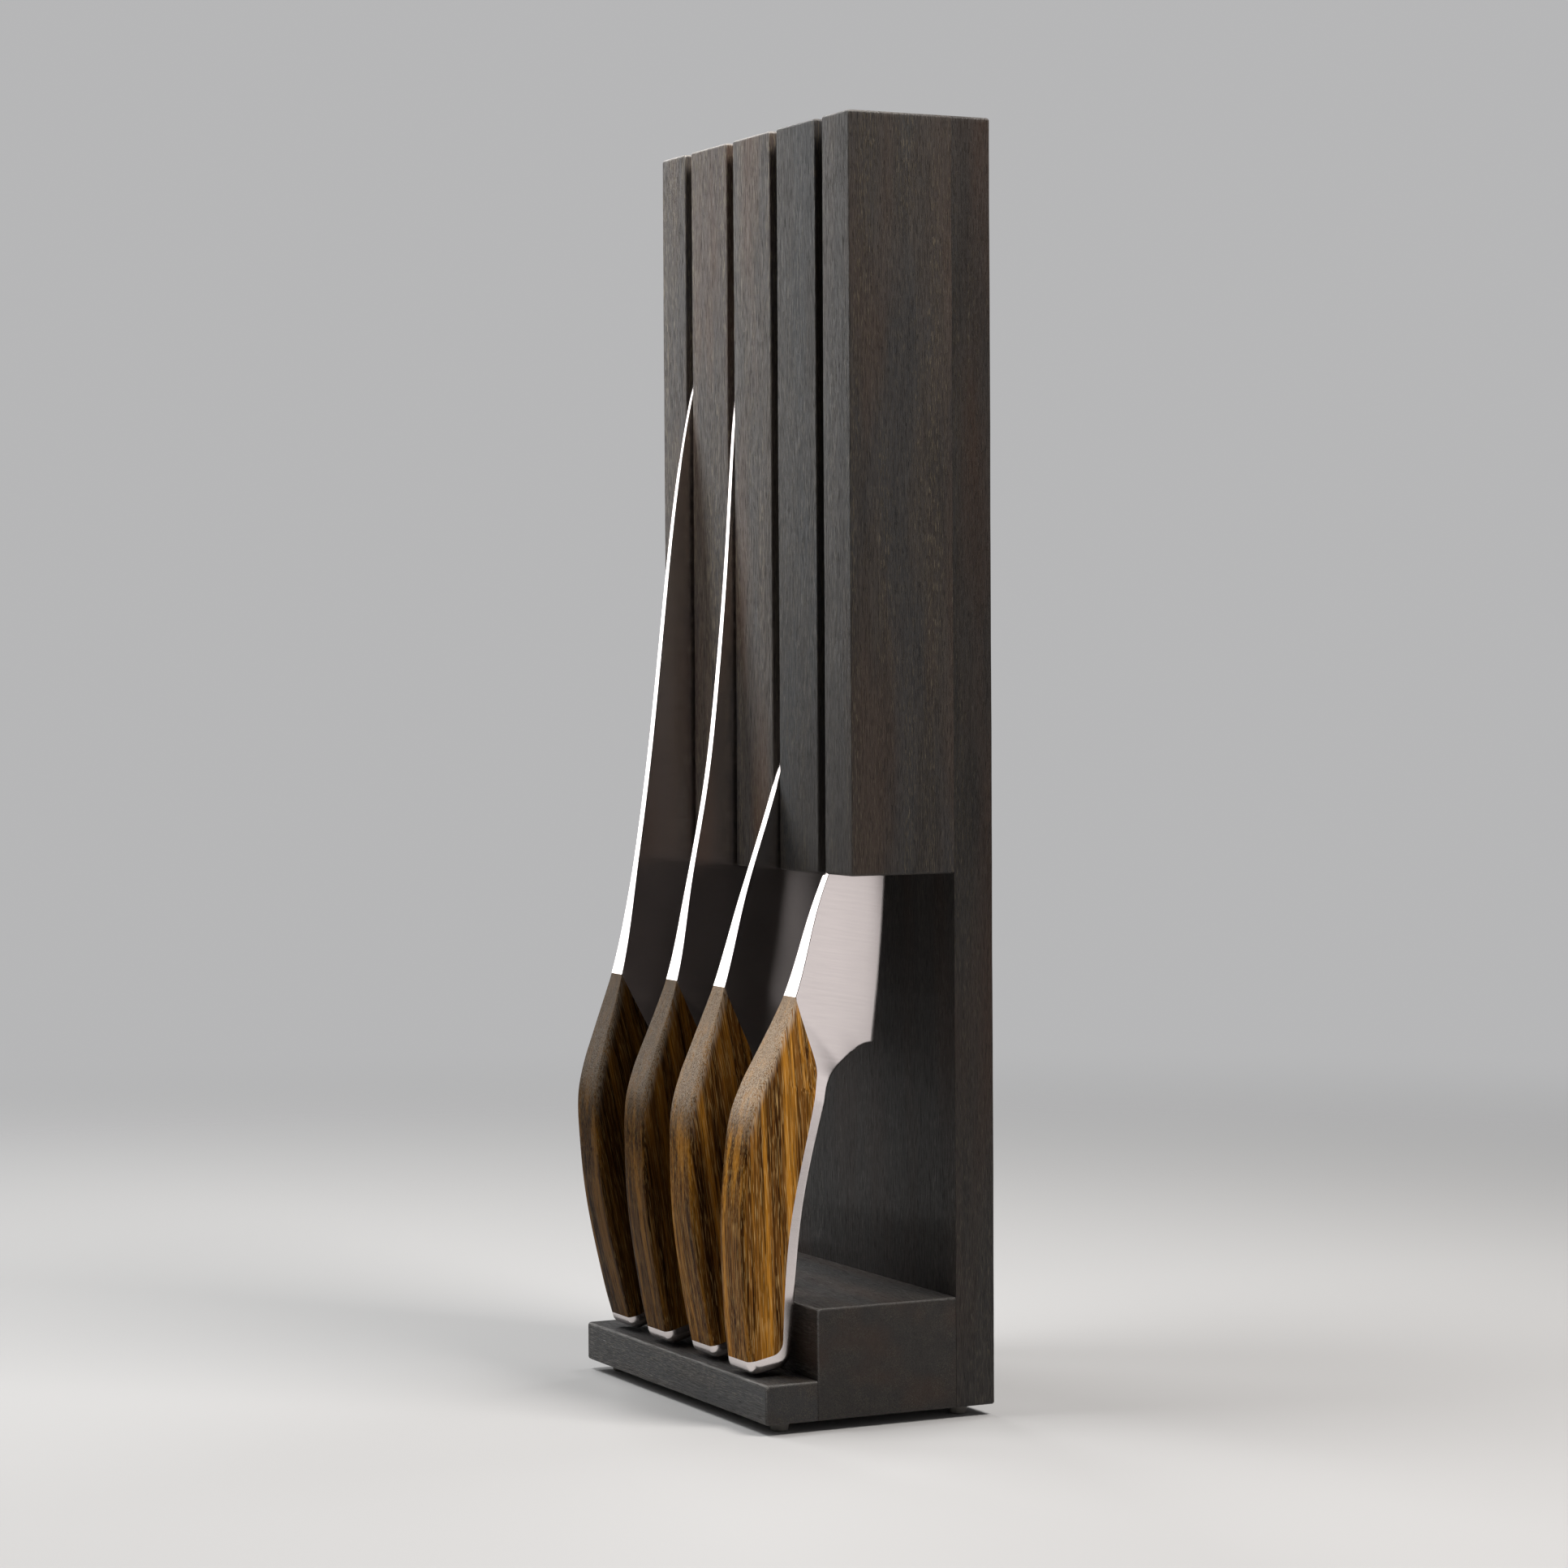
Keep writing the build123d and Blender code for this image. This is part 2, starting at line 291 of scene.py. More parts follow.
def makeBlockOak(name, shift, pith, warmth, tone):
    material, start = startFinish(name)
    place = grainPlace(start, shift)
    noise = {key: pattern(place, *spec) for key, spec in blockOak["patterns"].items()}
    farPush, nearPush = blockOak["bend"]
    bent = place + (noise["drift"] - 0.5) * farPush + (noise["wander"] - 0.5) * nearPush
    # at scale 1 the rings stand pi / 10 apart
    rings = start.node(
        "ShaderNodeTexWave",
        {"wave_type": "RINGS", "rings_direction": "Z", "wave_profile": "SAW"},
        {"Vector": (bent + pith) * (1.0, 1.0, 0.0), "Scale": 0.3142 / blockOak["ringGap"],
         "Distortion": 0.0}, output=1)
    bands = noise["fleckBands"]
    pores = noise["pores"].step(0.60, 0.68) * (1 - bands.step(0.35, 0.65) * 0.5)
    flecks = noise["flecks"].step(0.53, 0.64) * (0.30 + bands.step(0.42, 0.62) * 0.70)
    share = blockOak["figure"]
    figure = (
        rings * share["rings"] + noise["patches"].step(0.32, 0.68) * share["patches"]
        + noise["streaks"].step(0.34, 0.66) * share["streaks"]
        + noise["fibres"].step(0.34, 0.66) * share["fibres"])
    early, late, warm, cool, fleck, paintedHighlight = toned(
        blockOak, tone, "early", "late", "warm", "cool", "fleck", "paintedHighlight")
    ground = start.mixed(late, early, figure)
    browned = start.mixed(ground, warm, noise["drift"].step(0.42, 0.68) * warmth)
    coolShare = 0.60 * (1 - warmth)
    cooled = start.mixed(browned, cool, noise["coolDrift"].step(0.46, 0.62) * coolShare)
    pored = start.mixed(cooled, blockOak["pore"], pores * 0.55)
    flecked = start.mixed(pored, fleck, flecks * 0.75)
    # painted highlight: the eased edges turn pale, strongest along the top, broken up by the
    # fibres
    highlightShare = 0.20 + noise["fibres"].step(0.35, 0.6) * 0.60
    colour = start.mixed(flecked, paintedHighlight, paintedHighlightMask(start) * highlightShare)
    relief = figure * 0.5 + noise["fibres"] * 0.4 - pores * 0.9 + flecks * 0.4
    roughness = (
        blockOak["roughness"] + pores * 0.3 - flecks * 0.15
        + (noise["patches"] - 0.5) * 0.2 - (noise["fibres"] - 0.5) * 0.6)
    closeFinish(
        start, relief, blockOak["relief"], Base_Color=colour, Roughness=roughness,
        Specular_IOR_Level=blockOak["gloss"])
    return material


handleOak = {
    "pale": (0.64, 0.275, 0.032),
    "mid": (0.235, 0.098, 0.019),
    "dark": (0.040, 0.0150, 0.0045),
    "pore": (0.010, 0.004, 0.002),
    "silver": (0.78, 0.50, 0.19),       # bright fibre lines
    "paintedSheen": (0.62, 0.49, 0.36),       # painted sheen on the front above the knee
    "roughness": 0.31,
    "gloss": 0.02,
    "relief": 0.00008,                  # brushed depth in metres
    # start, repeats per millimetre with the last along the grain, detail, roughness
    "drift": ((0, 0, 0), (0.10, 0.10, 0.008)),
    "bend": 3.0,                        # how far the drift pushes bands and streaks
    "bentPatterns": {
        "bands": ((0, 0, 0), (0.30, 0.30, 0.006), 3.0, 0.6),
        "streaks": ((9.0, 3.0, 1.0), (1.1, 1.1, 0.014), 3.0, 0.6),
    },
    "patterns": {
        "fibres": ((4.0, 12.0, 8.0), (4.0, 4.0, 0.05), 2.0, 0.6),
        "pores": ((25.0, 2.0, 5.0), (3.2, 3.2, 0.055), 1.0),
        "silver": ((2.0, 33.0, 7.0), (4.0, 4.0, 0.14), 1.0),
    },
}


def makeHandleOak(name, shift, tone):
    material, start = startFinish(name)
    place = grainPlace(start, shift)
    bent = place + (pattern(place, *handleOak["drift"]) - 0.5) * handleOak["bend"]
    noise = {key: pattern(place, *spec) for key, spec in handleOak["patterns"].items()}
    for key, spec in handleOak["bentPatterns"].items():
        noise[key] = pattern(bent, *spec)
    pores = noise["pores"].step(0.59, 0.66)
    silver = noise["silver"].step(0.57, 0.66)
    fibres = noise["fibres"]
    dark, mid, pale, bright, paintedSheen = toned(
        handleOak, tone, "dark", "mid", "pale", "silver", "paintedSheen")
    ground = start.mixed(dark, mid, noise["streaks"].step(0.40, 0.60))
    banded = start.mixed(ground, pale, noise["bands"].step(0.44, 0.66) * 0.8)
    lined = start.mixed(banded, mid, fibres.step(0.50, 0.30) * 0.6)
    pored = start.mixed(lined, handleOak["pore"], pores * 0.7)
    lit = start.mixed(pored, bright, silver * 0.5)
    # painted sheen: the front above the knee turns pale, broken up by the fibres
    highlightShare = 0.12 + fibres.step(0.42, 0.56) * 0.88
    colour = start.mixed(lit, paintedSheen, paintedHighlightMask(start) * highlightShare)
    relief = noise["streaks"] * 0.3 + fibres * 0.5 - pores * 0.9
    closeFinish(
        start, relief, handleOak["relief"], Base_Color=colour,
        Roughness=handleOak["roughness"] + pores * 0.25 - silver * 0.08,
        Specular_IOR_Level=handleOak["gloss"])
    return material


bladeSteel = {
    "colour": (0.80, 0.735, 0.72),
    "shade": (0.70, 0.645, 0.63),
    "roughness": 0.24,
    "grainPull": 0.35,                  # how far the satin lines stretch reflections
    "lines": 0.0000003,                 # depth of the satin lines in metres
    # the satin lines run across the blade, from spine to edge
    "patterns": {
        "lines": ((0, 0, 0), (0.5, 0.06, 9.0), 3.0, 0.65),
        "broad": ((8.0, 3.0, 5.0), (0.3, 0.03, 1.3)),
        "clouds": ((2.0, 6.0, 1.0), (0.05, 0.05, 0.03)),
    },
}


def makeBladeSteel(name, shift):
    material, start = startFinish(name)
    place = grainPlace(start, shift)
    noise = {key: pattern(place, *spec) for key, spec in bladeSteel["patterns"].items()}
    wear = noise["lines"] * 0.6 + noise["broad"] * 0.4
    colour = start.mixed(bladeSteel["shade"], bladeSteel["colour"], wear.step(0.2, 0.8))
    unevenness = (wear - 0.5) * 0.08 + (noise["clouds"] - 0.5) * 0.08
    closeFinish(
        start, noise["lines"], bladeSteel["lines"], Base_Color=colour, Metallic=1.0,
        Roughness=bladeSteel["roughness"] + unevenness, Anisotropic=bladeSteel["grainPull"])
    return material


footRubber = {
    "colour": (0.20, 0.185, 0.165), "shade": (0.16, 0.148, 0.132), "roughness": 0.62,
    "grit": ((0, 0, 0), (3.0, 3.0, 3.0), 3.0), "relief": 0.00004}


def makeFootRubber():
    material, start = startFinish("footRubber")
    place = grainPlace(start, (0.0, 0.0, 0.0))
    grit = pattern(place, *footRubber["grit"])
    tone = start.mixed(footRubber["shade"], footRubber["colour"], grit)
    closeFinish(
        start, grit, footRubber["relief"], Base_Color=tone,
        Roughness=footRubber["roughness"] + (grit - 0.5) * 0.2)
    return material


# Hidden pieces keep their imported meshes, so they use object coordinates, in millimetres here
def objectPlace(start):
    return start.node("ShaderNodeTexCoord", {}, {}, output=3) * 1000.0


beechDowel = {
    "dark": (0.42, 0.27, 0.15), "pale": (0.62, 0.44, 0.28), "roughness": 0.6,
    "streaks": ((0, 0, 0), (2.0, 0.08, 2.0), 3.0), "relief": 0.00005}


def makeBeech():
    material, start = startFinish("beechDowel")
    streaks = pattern(objectPlace(start), *beechDowel["streaks"])
    colour = start.mixed(beechDowel["dark"], beechDowel["pale"], streaks)
    closeFinish(
        start, streaks, beechDowel["relief"], Base_Color=colour,
        Roughness=beechDowel["roughness"] + (streaks - 0.5) * 0.2)
    return material


magnetPlate = {
    "dark": (0.48, 0.48, 0.47), "pale": (0.66, 0.655, 0.64), "roughness": 0.22,
    "scuffs": ((0, 0, 0), (1.2, 1.2, 1.2), 4.0, 0.6), "relief": 0.00001}


def makeMagnetPlate():
    material, start = startFinish("magnetPlate")
    scuffs = pattern(objectPlace(start), *magnetPlate["scuffs"])
    colour = start.mixed(magnetPlate["dark"], magnetPlate["pale"], scuffs)
    closeFinish(
        start, scuffs, magnetPlate["relief"], Base_Color=colour, Metallic=1.0,
        Roughness=magnetPlate["roughness"] + scuffs.step(0.3, 0.8) * 0.2)
    return material


skinning = {
    "weld": 0.02,               # points closer than this become one, in millimetres
    "shortEdge": 0.005,
    "sharpAngle": 32.0,         # degrees between faces beyond which an edge shades sharp
}


# Joins closed loops of points, all of one length, into a skin with capped ends
def skinRings(name, rings, grainAt, paintedHighlightAt=None):
    mesh = bpy.data.meshes.new(name)
    build = bmesh.new()
    loops = [[build.verts.new(point) for point in ring] for ring in rings]
    count = len(rings[0])
    for lower, upper in zip(loops, loops[1:]):
        for i in range(count):
            k = (i + 1) % count
            build.faces.new((lower[i], lower[k], upper[k], upper[i]))
    build.faces.new(list(reversed(loops[0])))
    build.faces.new(loops[-1])
    bmesh.ops.remove_doubles(build, verts=build.verts, dist=skinning["weld"])
    bmesh.ops.dissolve_degenerate(build, edges=build.edges, dist=skinning["shortEdge"])
    bmesh.ops.recalc_face_normals(build, faces=build.faces)
    for face in build.faces:
        face.smooth = True
    build.to_mesh(mesh)
    build.free()
    storeGrain(mesh, grainAt, paintedHighlightAt)
    mesh.set_sharp_from_angle(angle=math.radians(skinning["sharpAngle"]))
    return mesh


# The mesh is in millimetres until here: its stored grain keeps them, the mesh goes to metres
def storeGrain(mesh, grainAt, paintedHighlightAt=None):
    count = len(mesh.vertices)
    places = np.empty(count * 3)
    mesh.vertices.foreach_get("co", places)
    places = places.reshape(-1, 3)
    stored = mesh.attributes.new("grain", "FLOAT_VECTOR", "POINT")
    stored.data.foreach_set("vector", grainAt(places).astype(np.float32).ravel())
    # a painted highlight mask, for pieces that carry one
    if paintedHighlightAt is not None:
        paintedHighlight = mesh.attributes.new("wear", "FLOAT", "POINT")
        paintedHighlight.data.foreach_set("value", paintedHighlightAt(places).astype(np.float32))
    mesh.vertices.foreach_set("co", (places * mm).ravel())
    mesh.update()


def addPiece(name, mesh, material, body, slot, *nodes):
    mesh.materials.append(material)
    piece = bpy.data.objects.new(name, mesh)
    scene.collection.objects.link(piece)
    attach(piece, body)
    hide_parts(*nodes)
    return piece


# Cubic spline through the points, natural at an end unless a direction is given there
def curveThrough(points, count=240, startDirection=None, endDirection=None):
    points = np.array(points, float)
    spans = np.linalg.norm(np.diff(points, axis=0), axis=1)
    knots = np.concatenate([[0], np.cumsum(spans)])
    size = len(points)
    system = np.zeros((size, size))
    right = np.zeros((size, 2))
    for i in range(1, size - 1):
        before, after = spans[i - 1], spans[i]
        system[i, i - 1:i + 2] = (before, 2 * (before + after), after)
        rise = (points[i + 1] - points[i]) / after - (points[i] - points[i - 1]) / before
        right[i] = 6 * rise
    setSplineEnd(system, right, points, spans, 0, startDirection)
    setSplineEnd(system, right, points, spans, size - 1, endDirection)
    bend = np.linalg.solve(system, right)
    at = np.linspace(0, knots[-1], count)
    piece = np.clip(np.searchsorted(knots, at, side="right") - 1, 0, size - 2)
    low, high = knots[piece], knots[piece + 1]
    width = (high - low)[:, None]
    fromLow = ((at - low)[:, None]) / width
    toHigh = 1 - fromLow
    curve = toHigh * points[piece] + fromLow * points[piece + 1]
    lowBend = (toHigh ** 3 - toHigh) * bend[piece]
    highBend = (fromLow ** 3 - fromLow) * bend[piece + 1]
    return curve + (lowBend + highBend) * width ** 2 / 6


def setSplineEnd(system, right, points, spans, row, direction):
    if direction is None:
        system[row, row] = 1
        return
    direction = np.array(direction, float) / np.linalg.norm(direction)
    first = row == 0
    span = spans[0] if first else spans[-1]
    other = 1 if first else row - 1
    system[row, row] = 2 * span
    system[row, other] = span
    chord = (points[1] - points[0]) / span if first else (points[-1] - points[-2]) / span
    right[row] = 6 * (chord - direction) if first else 6 * (direction - chord)


# Points at the given shares of a curve's length
def along(curve, shares):
    steps = np.linalg.norm(np.diff(curve, axis=0), axis=1)
    reach = np.concatenate([[0], np.cumsum(steps)])
    at = np.asarray(shares) * reach[-1]
    return np.stack([np.interp(at, reach, curve[:, k]) for k in (0, 1)], axis=1)


def smoothStep(value, low, high):
    share = np.clip((value - low) / (high - low), 0, 1)
    return share * share * (3 - 2 * share)


# Distance from points to a run of straight spans, with a value carried along the run
def nearest(points, curve, carried):
    start, run = curve[:-1], curve[1:] - curve[:-1]
    length = np.maximum((run ** 2).sum(1), 1e-9)
    share = np.clip(((points[:, None, :] - start) * run).sum(2) / length, 0, 1)
    away = np.linalg.norm(points[:, None, :] - start - share[..., None] * run, axis=2)
    best = away.argmin(1)
    row = np.arange(len(points))
    value = carried[best] + share[row, best] * (carried[best + 1] - carried[best])
    return away[row, best], value


blockBoards = {
    # how far each side's edges are eased, in millimetres; joined sides stay square
    "outer": 0.95,
    "arris": 0.55,              # long edges that run up beside the slots
    "joined": 0.12,
    "seamless": 0.02,
    "wobble": 0.16,             # share of the easing that comes and goes along an edge
    "swayRates": (0.05, 0.13, 0.31),        # how fast it does so, radians per millimetre
    "highlightDepth": 0.2,           # an edge gets its full painted highlight this far in from the sides
    "highlightBelowTop": 1.5,        # millimetres below the top where the painted edge highlight is strongest
    "sideHighlight": 0.25,           # share of the painted edge highlight on all other edges
    "stations": 56,
    "endStations": 6,
    "seed": 11,
    "cornerPoints": 6,
}


def boardSpans(node):
    low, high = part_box(node)
    return np.array(low) / mm, np.array(high) / mm


# How far an eased end pulls its sides in, at a depth from the end
def endPull(depth, easing):
    share = min(max(depth / easing, 0.0), 1.0)
    return easing * (1 - math.sqrt(1 - (1 - share) ** 2))


# A board with hand-eased edges; sides gives the easing of all six sides
def easedBoard(name, node, grainAxis, sides, seed):
    low, high = boardSpans(node)
    axes = [axis for axis in (0, 1, 2) if axis != grainAxis]
    names = (("left", "right"), ("front", "back"), ("bottom", "top"))
    ends = [sides[key] for key in names[grainAxis]]
    cross = [[sides[key] for key in names[axis]] for axis in axes]
    rng = np.random.default_rng(seed)
    phases = rng.uniform(0, 2 * math.pi, (4, 3))
    length = high[grainAxis] - low[grainAxis]
    nearEnd = 1 - np.cos(np.linspace(0, math.pi / 2, blockBoards["endStations"]))
    stations = np.concatenate([
        nearEnd * ends[0],
        np.linspace(ends[0] + 1.0, length - ends[1] - 1.0, blockBoards["stations"]),
        (length - nearEnd * ends[1])[::-1]])
    rings = []
    for station in stations:
        startPull = endPull(station, ends[0])
        stopPull = endPull(length - station, ends[1])
        pull = max(startPull / ends[0], stopPull / ends[1])
        edges = [
            [low[axes[k]] + pull * min(cross[k][0], max(ends)),
             high[axes[k]] - pull * min(cross[k][1], max(ends))] for k in (0, 1)]
        ring = []
        corners = ((0, 0, math.pi), (1, 0, 1.5 * math.pi), (1, 1, 0), (0, 1, 0.5 * math.pi))
        for number, (a, b, turn) in enumerate(corners):
            easing = min(cross[0][a], cross[1][b])
            sway = sum(
                math.sin(station * rate + phases[number][i]) / (i + 1)
                for i, rate in enumerate(blockBoards["swayRates"]))
            radius = easing * (1 + blockBoards["wobble"] * sway)
            centreA = edges[0][a] + (radius if a == 0 else -radius)
            centreB = edges[1][b] + (radius if b == 0 else -radius)
            for angle in np.linspace(turn, turn + math.pi / 2, blockBoards["cornerPoints"]):
                point = [0.0, 0.0, 0.0]
                point[axes[0]] = centreA + radius * math.cos(angle)
                point[axes[1]] = centreB + radius * math.sin(angle)
                point[grainAxis] = low[grainAxis] + station
                ring.append(point)
        rings.append(ring)

    def grainAt(places):
        order = axes + [grainAxis]
        return places[:, order]

    # painted highlight: most in the middle of an eased edge, strongest on the top edges, none on
    # the flat sides
    def paintedHighlightAt(places):
        depth = np.minimum(places - low, high - places).min(1)
        isTop = places[:, 2] > high[2] - blockBoards["highlightBelowTop"]
        share = np.where(isTop, 1.0, blockBoards["sideHighlight"])
        return np.clip(depth / blockBoards["highlightDepth"], 0, 1) * share

    return skinRings(name, rings, grainAt, paintedHighlightAt)


def sideEasing(**joined):
    sides = dict.fromkeys(
        ("left", "right", "front", "back", "bottom", "top"), blockBoards["outer"])
    for key, kind in joined.items():
        sides[key] = blockBoards[kind]
    return sides


# each board's oak: shift of the patterns, where the tree's middle lies, warmth, tone
boardLooks = {
    # back_board's low tone is partly the oak's own colour, partly painted shade for the recess
    # it lines
    "back_board": ((0, 0, 0), (40, 95, 0), 0.9, 0.20),
    "slat_1": ((120, 40, 300), (70, -60, 0), 0.35, 1.05),
    "slat_2": ((310, 90, 20), (-20, 120, 0), 0.55, 1.05),
    "slat_3": ((520, 10, 600), (15, 80, 0), 0.60, 1.0),
    "slat_4": ((700, 60, 150), (-60, 70, 0), 0.0, 0.34),
    "slat_5": ((910, 30, 450), (45, -110, 0), 0.40, 0.38),
    # step_block's low tone is partly the oak's own colour, partly painted shade for its side
    "step_block": ((1130, 70, 200), (50, -70, 0), 0.9, 0.24),
    "front_ledge": ((1350, 20, 800), (-30, 60, 0), 0.10, 0.34),
}


def makeBlock():
    for number, (node, look) in enumerate(boardLooks.items()):
        material = makeBlockOak("darkOak_" + node, *look)
        if node.startswith("slat"):
            sides = sideEasing(front="arris", back="seamless")
            axis = 2
        elif node == "back_board":
            sides = sideEasing(front="seamless", back="arris")
            axis = 2
        else:
            sides = sideEasing(back="joined")
            axis = 0
        mesh = easedBoard(node + "_oak", node, axis, sides, blockBoards["seed"] + number)
        slotName = "dark_oak" if axis == 2 else "dark_oak_cross"
        addPiece(node + "_oak", mesh, material, "block", slotName, node)
        print("board", node)


footPad = {
    "taper": 0.35, "round": 0.7,        # millimetres
    "wideFrom": 0.75,                   # share of the height where the pad is widest
    "tuck": 0.05,                       # gap left under the wood
    "core": 0.02, "points": 40, "roundPoints": 6}


def makeFeet():
    material = makeFootRubber()
    for node in ("foot_front_left", "foot_front_right", "foot_back_left", "foot_back_right"):
        low, high = boardSpans(node)
        middle = (low + high) / 2
        radius = (high[0] - low[0]) / 2
        height = high[2] - low[2]
        curve = np.linspace(0, math.pi / 2, footPad["roundPoints"])
        inner = radius - footPad["taper"] - footPad["round"]
        top = height - footPad["tuck"]
        profile = [(footPad["core"], 0.0)]
        profile += [
            (inner + footPad["round"] * math.sin(a), footPad["round"] * (1 - math.cos(a)))
            for a in curve]
        profile += [
            (radius, height * footPad["wideFrom"]), (radius, top), (footPad["core"], top)]
        rings = []
        for reach, rise in profile:
            turns = np.linspace(0, 2 * math.pi, footPad["points"], endpoint=False)
            rings.append([
                (middle[0] + reach * math.cos(t), middle[1] + reach * math.sin(t), low[2] + rise)
                for t in turns])
        mesh = skinRings(node + "_pad", rings, lambda places: places)
        addPiece(node + "_pad", mesh, material, "block", "foot_rubber", node)
    print("feet")


# Side view of a knife in millimetres: u from spine to belly, v up from the pommel's
# front corner
handleShape = {
    "front": [(0, 0), (-6.4, 25.8), (-10.9, 48.0), (-13.18, 70.0), (-13.32, 83.0), (-11.6, 91.5),
              (-1.7, 123.2)],
    "pommelBelly": (13.9, 5.1),
    "pommelRound": 5.5,
    "belly": [(13.2, 14.0), (10.1, 58.0), (13.2, 95.0)],
    "neck": (20.5, 105.7),
    "neckEnd": (1, 0.12),       # direction in which the neck meets the heel
    "toeRound": 3.5,            # the pommel's front lower edge
    "capFront": 5.0,            # height of the pommel cap at the spine side
    "woodCorner": (9.8, 9.2),
    "woodCornerRound": 4.6,
    "woodBack": [(6.3, 50.0), (8.6, 90.0), (9.0, 99.0)],
    "shoulder": (6.5, 107.0),
    # half thickness at heights up the handle, then along the neck
    "thickness": [(0, 9.3), (20, 9.3), (72, 8.7), (95, 8.2), (108, 6.6), (121, 4.6), (130, 4.05),
                  (137, 3.55), (145, 3.0), (153, 2.45), (160, 2.1), (168, 1.93), (190, 1.85)],
    "tipThickness": 0.8,
    "slant": ((84, 104), 0.85, -2.0),       # the belly side thins sooner than the spine
    "grind": ((106, 138), 0.93),            # where the blade's taper sets in, and how much
    "bevel": (0.05, 0.34),                  # half thickness at the edge, and its rise
    "grainSlope": 0.20,                     # the grain keeps to the handle's lower front
    "paintedSheen": ((0.6, 3.2), (70, 90)),       # painted sheen: reach from the front, and height up the handle
    # how far the sides round over at stretches of the outline
    "rounding": {
        "toe": 3.1, "bottom": 3.1, "corner": 2.4, "belly": 0.9, "neck": 0.7, "heel": 0.3,
        "front": 1.9, "spine": 0.22},
    # heights over which one rounding goes over into the next
    "roundingFades": {"toe": (2.0, 14.0), "belly": (8, 40), "spine": (98, 122)},
}

# the handle tones fall from the paring knife to the chef's knife: painted shade for the far
# handles, which get less light
knifeSet = {
    "chef_knife": {
        "lean": 0.0, "shift": (0, 0, 0), "tone": 0.26,
        "spine": [(4.1, 151.0), (11.1, 197.5), (17.4, 252.0), (25.9, 312.0)],
        "tip": (41.5, 374.0), "edge": [(45.5, 180.0), (45.0, 290.0)], "heel": (44.5, 112.4)},
    "slicing_knife": {
        "lean": 3.4, "shift": (90, 20, 310), "tone": 0.34,
        "spine": [(2.3, 150.0), (7.5, 189.0), (9.9, 224.0), (11.3, 270.0), (12.1, 327.0),
                  (16.3, 352.0)],
        "tip": (31.0, 372.0), "edge": [(36.0, 200.0), (39.5, 320.0)], "heel": (32.0, 112.4)},
    "utility_knife": {
        "lean": 3.8, "shift": (210, 70, 640), "tone": 0.64,
        "spine": [(4.4, 150.0), (12.8, 182.0), (20.5, 215.0)],
        "tip": (31.0, 262.0), "edge": [(35.5, 160.0), (34.5, 220.0)], "heel": (35.0, 112.4)},
    "paring_knife": {
        "lean": 9.7, "shift": (330, 10, 950), "tone": 0.92,
        "spine": [(2.6, 153.0), (5.7, 167.5), (11.0, 190.0)],
        "tip": (19.5, 221.0), "edge": [(29.8, 134.0), (26.8, 166.0)], "heel": (31.2, 112.4)},
}


# Points of the arc that rounds the corner between two straight runs
def roundCorner(before, corner, after, radius, count=14):
    before, corner, after = (np.array(p, float) for p in (before, corner, after))
    inward = (before - corner) / np.linalg.norm(before - corner)
    outward = (after - corner) / np.linalg.norm(after - corner)
    half = math.acos(float(np.clip(inward @ outward, -1, 1))) / 2
    reach = radius / math.tan(half)
    middle = (inward + outward) / np.linalg.norm(inward + outward)
    centre = corner + middle * radius / math.sin(half)
    first = corner + inward * reach - centre
    last = corner + outward * reach - centre
    sweep = math.pi - 2 * half
    points = []
    for share in np.linspace(0, 1, count):
        mix = math.sin((1 - share) * sweep) * first + math.sin(share * sweep) * last
        points.append(centre + mix / math.sin(sweep))
    return np.array(points)


def join(*runs):
    return np.concatenate([np.atleast_2d(np.array(run, float)) for run in runs])


# All the curves of one knife's side view
def knifeCurves(knife):
    shape = handleShape
    ridge = curveThrough(shape["front"] + knife["spine"] + [knife["tip"]], 900)
    neckTop = shape["front"][-1]
    split = int(np.argmin(np.linalg.norm(ridge - neckTop, axis=1)))
    front = ridge[:split + 1]
    spine = ridge[split:]
    corner = roundCorner((0, 0), shape["pommelBelly"], shape["belly"][0], shape["pommelRound"])
    toeFrom = int(np.argmin(np.abs(np.linalg.norm(front, axis=1) - 2 * shape["toeRound"])))
    toe = roundCorner(front[toeFrom], (0, 0), corner[0], shape["toeRound"])
    front = front[np.linalg.norm(front, axis=1) > np.linalg.norm(toe[0])]
    front = join(toe[0], front)
    capFront = int(np.argmin(np.abs(front[:, 1] - shape["capFront"])))
    belly = curveThrough(shape["belly"], 160)
    upward = belly[-1] - belly[-2]
    neck = curveThrough(
        [shape["belly"][-1], shape["neck"], knife["heel"]], 120, upward, shape["neckEnd"])
    edge = curveThrough([knife["heel"]] + knife["edge"] + [knife["tip"]], 400)
    woodCorner = roundCorner(
        front[capFront], shape["woodCorner"], shape["woodBack"][0], shape["woodCornerRound"])
    woodBack = curveThrough([woodCorner[-1]] + shape["woodBack"], 160)
    climb = woodBack[-1] - woodBack[-2]
    toTop = np.array(neckTop) - shape["shoulder"]
    shoulder = curveThrough(
        [shape["woodBack"][-1], shape["shoulder"]], 40, climb, toTop)
    return {
        "front": front, "spine": spine, "handleFront": front[capFront:],
        "toe": toe, "bottom": join(toe[-1], corner[0]),
        "corner": corner, "belly": join(corner[-1], belly),
        "neck": neck, "edge": edge, "woodBottom": join(front[capFront], woodCorner[0]),
        "woodCorner": woodCorner, "woodBack": woodBack, "shoulder": shoulder,
        "shoulderLine": join(shoulder[-1], neckTop),
    }


